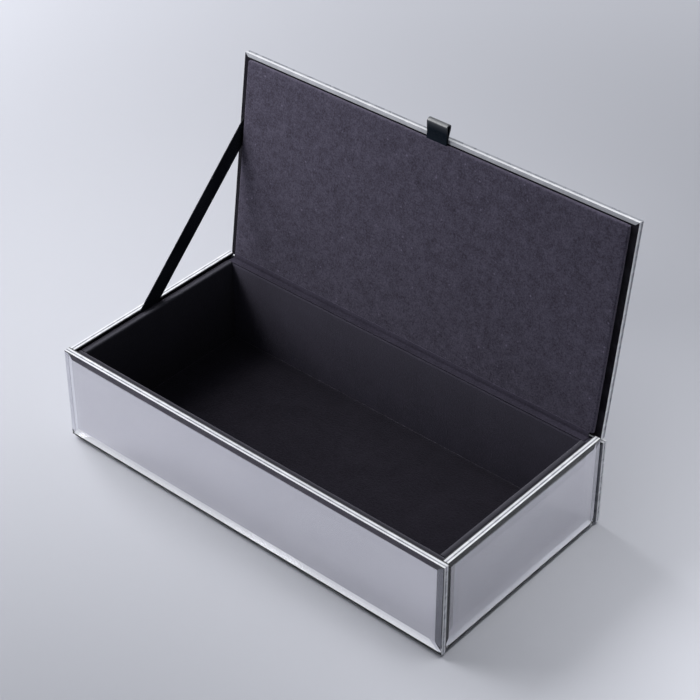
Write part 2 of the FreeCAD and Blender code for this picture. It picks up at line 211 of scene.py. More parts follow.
def pile_group():
    """Short cloth pile: patches where the nap leans, fine fibre ends over them, and specks of lint."""
    tree, start, end = new_group(
        "pile", "ShaderNodeTree",
        [("Patch Scale", FLOAT, 60), ("Fibre Scale", FLOAT, 900), ("Fibre Share", FLOAT, 0.5)],
        [("Tone", FLOAT), ("Height", FLOAT), ("Lint", FLOAT)])
    place = object_place(tree)
    patches = add_node(tree, "ShaderNodeTexNoise", {
        "Vector": place, "Scale": start.outputs["Patch Scale"], "Detail": 5, "Roughness": 0.78})
    fibres = add_node(tree, "ShaderNodeTexNoise", {
        "Vector": place, "Scale": start.outputs["Fibre Scale"], "Detail": 3, "Roughness": 0.7})
    tone = add_node(tree, "ShaderNodeMix", {
        "Factor": start.outputs["Fibre Share"], "A": patches.outputs["Fac"], "B": fibres.outputs["Fac"]})
    tree.links.new(ranged(tree, tone.outputs["Result"], 0.32, 0.68), end.inputs["Tone"])
    tree.links.new(fibres.outputs["Fac"], end.inputs["Height"])
    cells = add_node(tree, "ShaderNodeTexVoronoi", {"Vector": place, "Scale": 260})
    speck = ranged(tree, cells.outputs["Distance"], 0.08, 0.22, 1.0, 0.0)
    shade = add_node(tree, "ShaderNodeSeparateColor", {"Color": cells.outputs["Color"]}).outputs["Red"]
    chosen = ranged(tree, shade, 0.72, 1.0)
    tree.links.new(math_node(tree, "MULTIPLY", speck, chosen), end.inputs["Lint"])
    return tree


def wipe_group():
    """Faint wipe marks and dust on a polished face."""
    tree, start, end = new_group(
        "wipe_marks", "ShaderNodeTree",
        [("Scale", FLOAT, 30), ("Low", FLOAT, 0.0), ("High", FLOAT, 0.03)],
        [("Rough", FLOAT), ("Mark", FLOAT)])
    stretch = add_node(tree, "ShaderNodeMapping", {"Vector": object_place(tree), "Scale": (1.0, 1.0, 2.2)})
    smear = add_node(tree, "ShaderNodeTexNoise", {
        "Vector": stretch.outputs["Vector"], "Scale": start.outputs["Scale"], "Detail": 6, "Distortion": 0.8})
    mark = ranged(tree, smear.outputs["Fac"], 0.45, 0.75)
    rough = ranged(tree, mark, 0.0, 1.0, start.outputs["Low"], start.outputs["High"])
    tree.links.new(rough, end.inputs["Rough"])
    tree.links.new(mark, end.inputs["Mark"])
    return tree


PILE = pile_group()
WIPE = wipe_group()


def group_in(tree, group, **values):
    """A shader group placed in a material with its own values, as its outputs."""
    made = add_node(tree, "ShaderNodeGroup", node_tree=group)
    for name, value in values.items():
        made.inputs[name.replace("_", " ")].default_value = value
    return made.outputs


def new_material(name, **sockets):
    """A material whose shader sockets hold the given constants, with its tree and shader."""
    material = bpy.data.materials.new(name)
    material.use_nodes = True
    tree = material.node_tree
    shader = tree.nodes["Principled BSDF"]
    for socket, value in sockets.items():
        shader.inputs[socket.replace("_", " ")].default_value = value
    return material, tree, shader


def raise_normal(tree, shader, height, distance, strength):
    bump = add_node(tree, "ShaderNodeBump", {"Height": height, "Distance": distance, "Strength": strength})
    tree.links.new(bump.outputs["Normal"], shader.inputs["Normal"])


# Finishes

SILVER_MARKS = {"Scale": 9, "Low": 0.02, "High": 0.05}
PAINT_MARKS = {"Scale": 60, "Low": 0.35, "High": 0.6}
GLASS_MARKS = {"Scale": 22, "Low": 0.0, "High": 0.02}
EDGE_FROM_INSIDE = (0.92, 0.92, 0.94)


def wiped_finish(name, clean, smeared, wipe, **sockets):
    """A face with wipe marks in its colour and roughness; wipe holds the marks' values."""
    material, tree, shader = new_material(name, **sockets)
    marks = group_in(tree, WIPE, **wipe)
    tree.links.new(marks["Rough"], shader.inputs["Roughness"])
    tree.links.new(colour_mix(tree, marks["Mark"], clean, smeared), shader.inputs["Base Color"])
    return material


def silver_finish(name, clean, tarnished):
    return wiped_finish(name, clean, tarnished, SILVER_MARKS, Metallic=1.0)


def paint_and_shade_finish(name, dark, light):
    return wiped_finish(name, dark, light, PAINT_MARKS, Specular_IOR_Level=0.05)


def facet_highlight_finish(upper, foot):
    """Silver behind the lower bevel, lighter than the rest and white along the foot of the glass: a painted
    highlight.
    """
    material, tree, shader = new_material("facet_painted_highlight", Metallic=1.0)
    marks = group_in(tree, WIPE, **SILVER_MARKS)
    tree.links.new(marks["Rough"], shader.inputs["Roughness"])
    height = add_node(tree, "ShaderNodeSeparateXYZ", {"Vector": object_place(tree)}).outputs["Z"]
    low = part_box("front_pane")[0].z
    painted_highlight_share = ranged(tree, height, low, low + FACET_HIGHLIGHT_REACH, 1.0, 0.0)
    tree.links.new(colour_mix(tree, painted_highlight_share, upper, foot), shader.inputs["Base Color"])
    return material


def edge_finish(name, dark, light, rough):
    """Glass edge: a band of colour from outside, whose pale uses are painted glints, and a mirror to light
    that meets it inside the glass.
    """
    material, tree, shader = new_material(name, Specular_IOR_Level=0.6)
    marks = group_in(tree, WIPE, Scale=120, Low=rough[0], High=rough[1])
    inside = add_node(tree, "ShaderNodeNewGeometry").outputs["Backfacing"]
    outside = math_node(tree, "SUBTRACT", 1.0, inside)
    tree.links.new(math_node(tree, "MULTIPLY", marks["Rough"], outside), shader.inputs["Roughness"])
    tree.links.new(inside, shader.inputs["Metallic"])
    face = colour_mix(tree, marks["Mark"], dark, light)
    tree.links.new(colour_mix(tree, inside, face, EDGE_FROM_INSIDE), shader.inputs["Base Color"])
    return material


def velvet_finish(name, dark, light, patch_scale, sheen, nap_and_light_tint=(0.0, 0.0, 0.0), lint=0.0):
    """Velvet; the vertex attribute open_nap_and_painted_light is 1 along edges where the nap stands open, and
    the tint it adds there is partly that open nap and partly a painted highlight.
    """
    material, tree, shader = new_material(
        name, Roughness=1.0, Specular_IOR_Level=0.0, Sheen_Weight=sheen, Sheen_Roughness=0.45,
        Sheen_Tint=(0.78, 0.74, 0.92, 1))
    pile = group_in(tree, PILE, Patch_Scale=patch_scale, Fibre_Scale=900, Fibre_Share=0.6)
    edge = add_node(tree, "ShaderNodeAttribute", attribute_name="open_nap_and_painted_light").outputs["Fac"]
    colour = colour_mix(tree, pile["Tone"], dark, light)
    for share, tint in ((edge, nap_and_light_tint), (pile["Lint"], [lint * part for part in light])):
        colour = colour_mix(tree, share, colour, tint, blend_type="ADD")
    tree.links.new(colour, shader.inputs["Base Color"])
    raise_normal(tree, shader, pile["Height"], distance=0.35 * MM, strength=0.8)
    return material


def ribbon_finish(dark, light):
    """Satin ribbon: fine ribs across it, read from the strip's own UV map."""
    material, tree, shader = new_material(
        "satin_ribbon", Specular_IOR_Level=0.12, Sheen_Weight=0.1, Sheen_Roughness=0.3,
        Sheen_Tint=(0.6, 0.68, 0.9, 1))
    along = add_node(tree, "ShaderNodeUVMap", uv_map="strip").outputs["UV"]
    ribs = add_node(tree, "ShaderNodeTexWave", {
        "Vector": along, "Scale": 60, "Distortion": 0.4, "Detail": 1}, bands_direction="Y").outputs["Fac"]
    fray = add_node(tree, "ShaderNodeTexNoise", {"Vector": along, "Scale": 35, "Detail": 4}).outputs["Fac"]
    tree.links.new(colour_mix(tree, fray, dark, light), shader.inputs["Base Color"])
    tree.links.new(ranged(tree, ribs, 0.0, 1.0, 0.38, 0.55), shader.inputs["Roughness"])
    raise_normal(tree, shader, ribs, distance=0.08 * MM, strength=0.6)
    return material


def leather_finish(dark, light):
    """Black leather; the vertex attribute polish is 1 where handling has made it shine."""
    material, tree, shader = new_material(
        "black_leather", Specular_IOR_Level=0.08, Coat_Roughness=0.36, Coat_IOR=1.7)
    polish = add_node(tree, "ShaderNodeAttribute", attribute_name="polish").outputs["Fac"]
    tree.links.new(polish, shader.inputs["Coat Weight"])
    place = object_place(tree)
    cells = add_node(tree, "ShaderNodeTexVoronoi", {
        "Vector": place, "Scale": 1600}, feature="DISTANCE_TO_EDGE")
    creases = ranged(tree, cells.outputs["Distance"], 0.0, 0.25)
    wear = add_node(tree, "ShaderNodeTexNoise", {"Vector": place, "Scale": 240, "Detail": 5}).outputs["Fac"]
    tree.links.new(colour_mix(tree, wear, dark, light), shader.inputs["Base Color"])
    tree.links.new(ranged(tree, wear, 0.0, 1.0, 0.14, 0.3), shader.inputs["Roughness"])
    raise_normal(tree, shader, creases, distance=0.06 * MM, strength=0.7)
    return material


def fibre_finish(name, dark, light, patch_scale, fibre_scale):
    """Felt, board or foam: matt, flecked by its fibres."""
    material, tree, shader = new_material(name, Roughness=0.95, Specular_IOR_Level=0.15)
    pile = group_in(tree, PILE, Patch_Scale=patch_scale, Fibre_Scale=fibre_scale, Fibre_Share=0.6)
    tree.links.new(colour_mix(tree, pile["Tone"], dark, light), shader.inputs["Base Color"])
    raise_normal(tree, shader, pile["Height"], distance=0.3 * MM, strength=0.7)
    return material


GLASS = wiped_finish("clear_glass", (0.97, 0.975, 0.985), (0.94, 0.945, 0.96), GLASS_MARKS,
                     IOR=1.52, Transmission_Weight=1.0)
SILVER = silver_finish("silvering", (0.745, 0.732, 0.765), (0.71, 0.70, 0.735))
# Brighter silver on the front pane's left strip: a painted highlight for the bright reflection in that bevel.
HIGHLIGHT_SILVER = silver_finish("painted_highlight_silvering", (0.91, 0.905, 0.94), (0.88, 0.875, 0.91))
# Painted highlight behind the lower bevel, brightest along the foot.
FACET_HIGHLIGHT_SILVER = facet_highlight_finish((0.80, 0.79, 0.825), (1.0, 1.0, 1.0))
# Dark silver on the front pane's right strip: painted shade for the dark reflection in that bevel.
SHADE_SILVER = silver_finish("painted_shade_silvering", (0.22, 0.22, 0.245), (0.18, 0.18, 0.205))
# Near-black backing paint, the real paint on the back of the glass; in place of silver in the top strip and
# the side panes' front-end strips it is painted shade for the dark reflection along those edges.
BACKING_AND_SHADE_PAINT = paint_and_shade_finish("backing_and_shade_paint", (0.008, 0.007, 0.010), (0.016, 0.015, 0.020))
# Dark band under the front pane's top edge: painted shade for the dark reflection in the top bevel.
SHADE_STRIP_PAINT = paint_and_shade_finish("painted_shade_strip", (0.060, 0.050, 0.075), (0.085, 0.073, 0.105))
# The pale arris and seal bands are painted glints: the bright lines that light draws along the glass edge.
GLINT_ARRIS = edge_finish("arris_painted_glint", (0.70, 0.71, 0.74), (0.82, 0.82, 0.84), rough=(0.15, 0.35))
SEAL_GLINT = edge_finish("seal_painted_glint", (0.62, 0.63, 0.66), (0.76, 0.77, 0.80), rough=(0.25, 0.5))
GROUND_EDGE = edge_finish("ground_edge", (0.20, 0.21, 0.24), (0.30, 0.31, 0.34), rough=(0.25, 0.5))
# Pale lip along the lid's upper edge when open: a painted reflection in the glass margin.
REFLECTION_LIP = edge_finish("lip_painted_reflection", (0.36, 0.37, 0.40), (0.46, 0.47, 0.50), rough=(0.3, 0.6))
LAPPED_EDGE = edge_finish("lapped_edge", (0.02, 0.02, 0.024), (0.035, 0.035, 0.04), rough=(0.4, 0.6))
# One velvet in four copies: the lid's is a lighter, lit copy, the case's a darker, shaded one, and the back
# wall's and the hinge's are lit copies lighter than the case's; this is painted light and shade.
LIT_LID_VELVET = velvet_finish("lit_lid_velvet", (0.0165, 0.0147, 0.0228), (0.0995, 0.0905, 0.129),
                           patch_scale=150, sheen=0.3, lint=0.8)
SHADED_CASE_VELVET = velvet_finish("case_velvet_shaded_copy", (0.0042, 0.0038, 0.0055), (0.0134, 0.0122, 0.0170),
                            patch_scale=45, sheen=0.2, nap_and_light_tint=(0.07, 0.07, 0.08))
LIT_BACK_VELVET = velvet_finish("back_velvet", (0.0061, 0.0056, 0.0097), (0.0209, 0.0187, 0.0305),
                            patch_scale=45, sheen=0.25, nap_and_light_tint=(0.061, 0.0575, 0.074))
LIT_HINGE_VELVET = velvet_finish("hinge_velvet_lit_copy", (0.010, 0.0090, 0.014), (0.038, 0.034, 0.050),
                             patch_scale=45, sheen=0.2, nap_and_light_tint=(0.030, 0.027, 0.040))
RIBBON = ribbon_finish((0.002, 0.003, 0.005), (0.008, 0.010, 0.015))
BLACK_LEATHER = leather_finish((0.001, 0.004, 0.0085), (0.004, 0.008, 0.014))
FELT = fibre_finish("black_felt", (0.008, 0.008, 0.009), (0.02, 0.02, 0.022), patch_scale=90, fibre_scale=700)
BOARD = fibre_finish("pressed_board", (0.03, 0.03, 0.032), (0.055, 0.054, 0.056),
                     patch_scale=40, fibre_scale=500)
FOAM_TAPE = fibre_finish("foam_tape", (0.015, 0.015, 0.016), (0.03, 0.03, 0.031),
                         patch_scale=200, fibre_scale=1500)


# Bevelled panes: one node tree, placed with each pane's width and height

def pane_tree():
    """Silvered glass lying on its painted back, built up in steps to the bevelled face."""
    sizes = [(name, FLOAT, 0.1) for name in (
        "Width", "Height", "Thickness", "Bevel Width", "Bevel Depth", "Arris", "Lap", "Seal", "Bright",
        "Top Margin", "Left Margin", "Right Margin", "Facet", "Lift", "Gap", "Lip")]
    finishes = [(name, MATERIAL, None) for name in (
        "Glass", "Silver", "Left Strip", "Right Strip", "Top Strip", "Low Strip", "Backing",
        "Lap Finish", "Seal Finish", "Edge Finish", "Bright Finish", "Side Lip", "Low Lip")]
    tree, start, end = new_group("bevelled_pane", "GeometryNodeTree", sizes + finishes, [("Mesh", GEOMETRY)])
    get = start.outputs
    full_size = [get["Width"], get["Height"]]

    def inset(name):
        """Width and height less the named distance on every side."""
        both_sides = math_node(tree, "MULTIPLY", get[name], 2.0)
        return [math_node(tree, "SUBTRACT", size, both_sides) for size in full_size]

    def painted(mesh, finish, where=True):
        return add_node(tree, "GeometryNodeSetMaterial", {
            "Geometry": mesh, "Selection": where, "Material": finish}).outputs["Geometry"]

    def step(mesh, top, rise, old, new, finish):
        """Raises the top face, brings it to a new size and gives the sides their finish."""
        raised = add_node(tree, "GeometryNodeExtrudeMesh", {
            "Mesh": mesh, "Selection": top, "Offset": (0, 0, 1), "Offset Scale": rise, "Individual": False})
        mesh = raised.outputs["Mesh"]
        for axis, was, now in ((X, old[0], new[0]), (Y, old[1], new[1])):
            if was is not now:
                scaled = add_node(tree, "GeometryNodeScaleElements", {
                    "Geometry": mesh, "Selection": raised.outputs["Top"], "Axis": axis,
                    "Scale": math_node(tree, "DIVIDE", now, was)}, scale_mode="SINGLE_AXIS")
                mesh = scaled.outputs["Geometry"]
        return painted(mesh, finish, raised.outputs["Side"]), raised.outputs["Top"], raised.outputs["Side"]

    place = add_node(tree, "GeometryNodeInputPosition").outputs["Position"]
    place = add_node(tree, "ShaderNodeSeparateXYZ", {"Vector": place}).outputs

    def strip(rim, inner_size, axis, sign):
        """The one of the four border strips that lies outside the inner size on one side."""
        limit = math_node(tree, "MULTIPLY", inner_size["XY".index(axis)], 0.5)
        beyond = math_node(tree, "GREATER_THAN", math_node(tree, "MULTIPLY", place[axis], sign), limit)
        beyond = math_node(tree, "MULTIPLY", beyond, rim)
        return add_node(tree, "GeometryNodeFieldOnDomain", {"Value": beyond}, domain="FACE").outputs["Value"]

    def joined(parts):
        whole = add_node(tree, "GeometryNodeJoinGeometry")
        for part in parts:
            tree.links.new(part, whole.inputs["Geometry"])
        return whole.outputs["Geometry"]

    # Glass: the bands of the edge, the arris, the bevel and the face
    back = add_node(tree, "GeometryNodeMeshGrid", {
        "Size X": full_size[0], "Size Y": full_size[1], "Vertices X": 2, "Vertices Y": 2}).outputs["Mesh"]
    ground = math_node(tree, "SUBTRACT", get["Thickness"], get["Bevel Depth"])
    for name in ("Lap", "Seal", "Bright", "Arris"):
        ground = math_node(tree, "SUBTRACT", ground, get[name])
    mesh, top, size = back, True, full_size
    for rise, new_size, finish in (
            (get["Lap"], full_size, "Lap Finish"), (get["Seal"], full_size, "Seal Finish"),
            (ground, full_size, "Edge Finish"), (get["Bright"], full_size, "Bright Finish"),
            (get["Arris"], inset("Arris"), "Glass"), (get["Bevel Depth"], inset("Bevel Width"), "Glass")):
        mesh, top, _ = step(mesh, top, rise, size, new_size, get[finish])
        size = new_size
    shell = painted(mesh, get["Glass"], top)

    # Painted back, with a lip along the ends and the lower edge
    paint_size = inset("Lip")
    paint, _, lip = step(back, True, 0.0, full_size, paint_size, get["Backing"])
    paint = painted(paint, get["Backing"])
    for axis, sign, finish in (("X", -1.0, "Side Lip"), ("X", 1.0, "Side Lip"), ("Y", -1.0, "Low Lip")):
        paint = painted(paint, get[finish], strip(lip, paint_size, axis, sign))
    paint = add_node(tree, "GeometryNodeFlipFaces", {"Mesh": paint}).outputs["Mesh"]
    body = add_node(tree, "GeometryNodeMergeByDistance", {
        "Geometry": joined((shell, paint)), "Distance": WELD}).outputs["Geometry"]

    # Silver just in front of the paint, with border strips of their own, the lower one tilted; their finishes
    # are painted shade and painted highlights
    silver_size = inset("Top Margin")
    sheet, _, rim = step(back, True, 0.0, full_size, silver_size, get["Silver"])
    sheet = painted(sheet, get["Silver"])
    for axis, sign, finish in (("X", -1.0, "Left Strip"), ("X", 1.0, "Right Strip"), ("Y", 1.0, "Top Strip")):
        sheet = painted(sheet, get[finish], strip(rim, silver_size, axis, sign))
    lower = strip(rim, silver_size, "Y", -1.0)
    sheet = painted(sheet, get["Low Strip"], lower)
    sheet = add_node(tree, "GeometryNodeSplitEdges", {"Mesh": sheet}).outputs["Mesh"]
    outer = math_node(tree, "GREATER_THAN", math_node(tree, "ABSOLUTE", place["X"]),
                      math_node(tree, "MULTIPLY", full_size[0], OUTER_LINE))
    inner = math_node(tree, "SUBTRACT", 1.0, outer)

    def moved(axis, sign, name):
        """Brings the inner line on one side from the upper margin to its own."""
        side = math_node(tree, "GREATER_THAN", math_node(tree, "MULTIPLY", place[axis], sign), 0.0)
        change = math_node(tree, "SUBTRACT", get["Top Margin"], get[name])
        change = math_node(tree, "MULTIPLY", change, math_node(tree, "MULTIPLY", side, inner))
        return math_node(tree, "MULTIPLY", change, sign)

    outer_low = math_node(tree, "MULTIPLY", outer, math_node(tree, "LESS_THAN", place["Y"], 0.0))
    lift = math_node(tree, "MULTIPLY", math_node(tree, "MULTIPLY", lower, outer_low), get["Lift"])
    shift = add_node(tree, "ShaderNodeCombineXYZ", {
        "X": math_node(tree, "ADD", moved("X", -1.0, "Left Margin"), moved("X", 1.0, "Right Margin")),
        "Y": moved("Y", -1.0, "Facet"), "Z": math_node(tree, "ADD", lift, get["Gap"])})
    sheet = add_node(tree, "GeometryNodeSetPosition", {"Geometry": sheet, "Offset": shift.outputs["Vector"]})
    whole = add_node(tree, "GeometryNodeRealizeInstances", {
        "Geometry": joined((body, sheet.outputs["Geometry"]))})
    tree.links.new(whole.outputs["Geometry"], end.inputs["Mesh"])
    return tree


PANE_TREE = pane_tree()

# What the panes have in common: the dark top strip is painted shade, the low strip a painted highlight and
# the pale edge bands painted glints
PANE_VALUES = {
    "Bevel Width": BEVEL_WIDTH, "Bevel Depth": BEVEL_DEPTH, "Arris": ARRIS, "Lap": EDGE_LAP,
    "Seal": EDGE_SEAL, "Bright": EDGE_BRIGHT, "Top Margin": TOP_MARGIN, "Left Margin": SIDE_MARGIN,
    "Right Margin": SIDE_MARGIN, "Facet": FACET_WIDTH, "Lift": FACET_LIFT, "Gap": SILVER_GAP, "Lip": BACK_LIP,
    "Glass": GLASS, "Silver": SILVER, "Left Strip": SILVER, "Right Strip": SILVER, "Top Strip": BACKING_AND_SHADE_PAINT,
    "Low Strip": FACET_HIGHLIGHT_SILVER, "Backing": BACKING_AND_SHADE_PAINT, "Lap Finish": LAPPED_EDGE, "Seal Finish": SEAL_GLINT,
    "Edge Finish": GROUND_EDGE, "Bright Finish": GLINT_ARRIS, "Side Lip": GROUND_EDGE,
    "Low Lip": GROUND_EDGE}


def link_object(name, data):
    made = bpy.data.objects.new(name, data)
    bpy.context.scene.collection.objects.link(made)
    return made


def made_by_nodes(name, tree, values):
    """A plain mesh from a node tree, with the tree's named inputs set first."""
    maker = link_object(name, bpy.data.meshes.new(name))
    modifier = maker.modifiers.new("maker", "NODES")
    modifier.node_group = tree
    for item in tree.interface.items_tree:
        if item.in_out == "INPUT" and item.name in values:
            modifier[item.identifier] = values[item.name]
    ready = maker.evaluated_get(bpy.context.evaluated_depsgraph_get())
    mesh = bpy.data.meshes.new_from_object(ready)
    maker.modifiers.remove(modifier)
    maker.data = mesh
    return maker


def make_pane(node, corners, across, up, own, turn=Matrix.Identity(4)):
    """The pane that stands for a CAD pane: across and up are its sides, their cross its outward face.

    own holds the values in which it differs from the others.
    """
    low, high = corners
    outward = across.cross(up)
    extent = high - low
    thickness = abs(extent.dot(outward)) - TAPE_CLEAR
    values = {**PANE_VALUES, **own}
    values.update({"Width": abs(extent.dot(across)), "Height": abs(extent.dot(up)), "Thickness": thickness})
    pane = made_by_nodes(node.replace("pane", "mirror_pane"), PANE_TREE, values)
    place = Matrix((across, up, outward)).transposed().to_4x4()
    place.translation = (low + high) / 2 - outward * (thickness - TAPE_CLEAR) / 2
    pane.data.transform(turn @ place)
    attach(pane, "lid" if node == "lid_pane" else "box")
    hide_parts(node)


# On the front pane the left strip carries a painted highlight, and the right and top strips painted shade.
make_pane("front_pane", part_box("front_pane"), X, Z,
          {"Left Strip": HIGHLIGHT_SILVER, "Right Strip": SHADE_SILVER, "Top Strip": SHADE_STRIP_PAINT,
           "Right Margin": FRONT_MARGIN, "Lift": FRONT_LIFT})
make_pane("back_pane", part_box("back_pane"), -X, Z, {})
# The side panes' front-end strips take the backing paint instead of silver: painted shade.
make_pane("right_pane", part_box("right_pane"), Y, Z, {"Left Strip": BACKING_AND_SHADE_PAINT})
make_pane("left_pane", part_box("left_pane"), -Y, Z, {"Right Strip": BACKING_AND_SHADE_PAINT})
# On the lid the pale arris bands are painted glints, and the pale low lip a painted reflection.
make_pane("lid_pane", shut_box("lid_pane"), X, Y,
          {"Lap Finish": GLINT_ARRIS, "Seal Finish": GLINT_ARRIS, "Bright Finish": GROUND_EDGE,
           "Side Lip": BACKING_AND_SHADE_PAINT, "Low Lip": REFLECTION_LIP}, OPEN_LID)


# Mesh helpers of the cloth pieces

def mesh_from(build, name):
    """The mesh of a bmesh, which is freed."""
    mesh = bpy.data.meshes.new(name)
    build.to_mesh(mesh)
    build.free()
    return mesh


def closed_mesh(build, name):
    """The mesh of a closed bmesh, its faces turned outwards."""
    bmesh.ops.recalc_face_normals(build, faces=build.faces)
    return mesh_from(build, name)


def finish_piece(name, mesh, material, body, node, sharp=50):
    """Links a soft piece, shades it smooth up to an angle and lets it stand for its CAD node."""
    mesh.materials.append(material)
    for face in mesh.polygons:
        face.use_smooth = True
    mesh.set_sharp_from_angle(angle=math.radians(sharp))
    piece = link_object(name, mesh)
    if body:
        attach(piece, body)
    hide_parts(node)
    return piece


def mark_share(mesh, name, share):
    """Writes a vertex attribute from a share worked out at each vertex."""
    layer = mesh.attributes.new(name, "FLOAT", "POINT")
    for vertex in mesh.vertices:
        layer.data[vertex.index].value = share(vertex.co)


def arc(centre, radius, start, stop, steps):
    """Points on an arc, with angles in degrees."""
    turns = [math.radians(start + (stop - start) * i / steps) for i in range(steps + 1)]
    return [(centre[0] + radius * math.cos(t), centre[1] + radius * math.sin(t)) for t in turns]


def line(start, stop, steps):
    """Points on a straight line, both ends among them."""
    return [(start[0] + (stop[0] - start[0]) * i / steps, start[1] + (stop[1] - start[1]) * i / steps)
            for i in range(steps + 1)]


def offset_path(path, thickness):
    """A closed section round an open path of (across, up) points."""
    sides = ([], [])
    for i, point in enumerate(path):
        before, after = path[max(i - 1, 0)], path[min(i + 1, len(path) - 1)]
        run = Vector((after[0] - before[0], after[1] - before[1])).normalized()
        for side, sign in zip(sides, (1, -1)):
            side.append((point[0] - run.y * thickness / 2 * sign, point[1] + run.x * thickness / 2 * sign))
    return sides[0] + list(reversed(sides[1]))


def swept(section, place, length, steps, wave=0.0):
    """A closed section run along a line; place maps across, up and along to a point."""
    build = bmesh.new()
    rings = []
    for i in range(steps + 1):
        spots = [place(across, up, length * i / steps) for across, up in section]
        spots = [spot + wave * noise.noise_vector(spot / STRIP_RIPPLE) for spot in spots]
        rings.append([build.verts.new(spot) for spot in spots])
    count = len(section)
    for near, far in zip(rings, rings[1:]):
        for i in range(count):
            build.faces.new((near[i], near[(i + 1) % count], far[(i + 1) % count], far[i]))
    build.faces.new(rings[0])
    build.faces.new(list(reversed(rings[-1])))
    return closed_mesh(build, "swept")


def grid_faces(build, grid):
    """Faces between the vertices of a grid."""
    for near, far in zip(grid, grid[1:]):
        for i in range(len(near) - 1):
            build.faces.new((near[i], near[i + 1], far[i + 1], far[i]))


def grid_border(columns, rows):
    """The places round a grid in order, each with the way that its side faces."""
    return ([((i, 0), (0, -1)) for i in range(columns)]
            + [((columns, j), (1, 0)) for j in range(rows)]
            + [((i, rows), (0, 1)) for i in range(columns, 0, -1)]
            + [((0, j), (-1, 0)) for j in range(rows, 0, -1)])


# Linings of the four walls

def lining_section(depth, low, high):
    """Velvet over a wall, seen from its end: across runs from the glass to the inside."""
    inner = depth - VELVET
    points = [(0, high - VELVET)]
    points += arc((RIM_OUTER_ROUND, high - RIM_OUTER_ROUND), RIM_OUTER_ROUND, 180, 90, steps=4)
    points += arc((depth - RIM_INNER_ROUND, high - RIM_INNER_ROUND), RIM_INNER_ROUND, 90, 0, steps=7)
    points += [(depth, low), (inner, low), (inner, high - VELVET)]
    return points


def make_lining(side, inward, velvet):
    low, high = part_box(side + "_lining")
    extent = high - low
    depth = abs(extent.dot(inward))
    run = X if inward.x == 0 else Y
    outer = Vector([low[i] if inward[i] > 0 else high[i] for i in range(3)])
    inner = outer + inward * depth
    origin = Vector((outer.x if run is Y else low.x, outer.y if run is X else low.y, 0))

    def place(across, up, along):
        return origin + inward * across + Z * up + run * along

    def open_nap_and_light(spot):
        """Most along the inner edge of the rim, none down the wall: there the nap stands open, and the
        lighter tint is partly a painted highlight on the rim's top.
        """
        from_inner = abs((spot - inner).dot(inward)) / depth
        return max(0.0, 1 - (high.z - spot.z) / (2 * RIM_INNER_ROUND)) * max(0.0, 1 - from_inner)

    section = lining_section(depth, low.z, high.z)
    mesh = swept(section, place, abs(extent.dot(run)), LINING_STEPS, RIM_WAVE)
    mark_share(mesh, "open_nap_and_painted_light", open_nap_and_light)
    finish_piece(side + "_velvet", mesh, velvet, "box", side + "_lining")


# The back wall has the lit copy of the velvet and the other walls the shaded copy: painted light and shade.
make_lining("front", Y, SHADED_CASE_VELVET)
make_lining("back", -Y, LIT_BACK_VELVET)
make_lining("left", X, SHADED_CASE_VELVET)
make_lining("right", -X, SHADED_CASE_VELVET)


# Floor, lid lining and sole

def draped_rise(across, along, cells):
    """How far cloth that is held round its edge gives under its own weight, from 0 to 1 on a grid."""
    columns, rows = cells
    build = bmesh.new()
    grid = [[build.verts.new((across * i / columns, along * j / rows, 0)) for i in range(columns + 1)]
            for j in range(rows + 1)]
    grid_faces(build, grid)
    cloth = link_object("draped", mesh_from(build, "draped"))
    held = cloth.vertex_groups.new(name="held")
    held.add([j * (columns + 1) + i for (i, j), _ in grid_border(columns, rows)], 1.0, "REPLACE")
    modifier = cloth.modifiers.new("cloth", "CLOTH")
    modifier.settings.vertex_group_mass = "held"
    modifier.settings.quality = 6
    modifier.settings.tension_stiffness = 40
    modifier.settings.bending_stiffness = 2
    modifier.point_cache.frame_start = 1
    modifier.point_cache.frame_end = DRAPE_FRAMES
    scene = bpy.context.scene
    for number in range(1, DRAPE_FRAMES + 1):
        scene.frame_set(number)
    ready = cloth.evaluated_get(bpy.context.evaluated_depsgraph_get())
    drop = [-vertex.co.z for vertex in ready.data.vertices]
    scene.frame_set(1)
    bpy.data.objects.remove(cloth)
    most = max(max(drop), LEAST_DROP)
    return [[max(0.0, drop[j * (columns + 1) + i]) / most for i in range(columns + 1)]
            for j in range(rows + 1)]


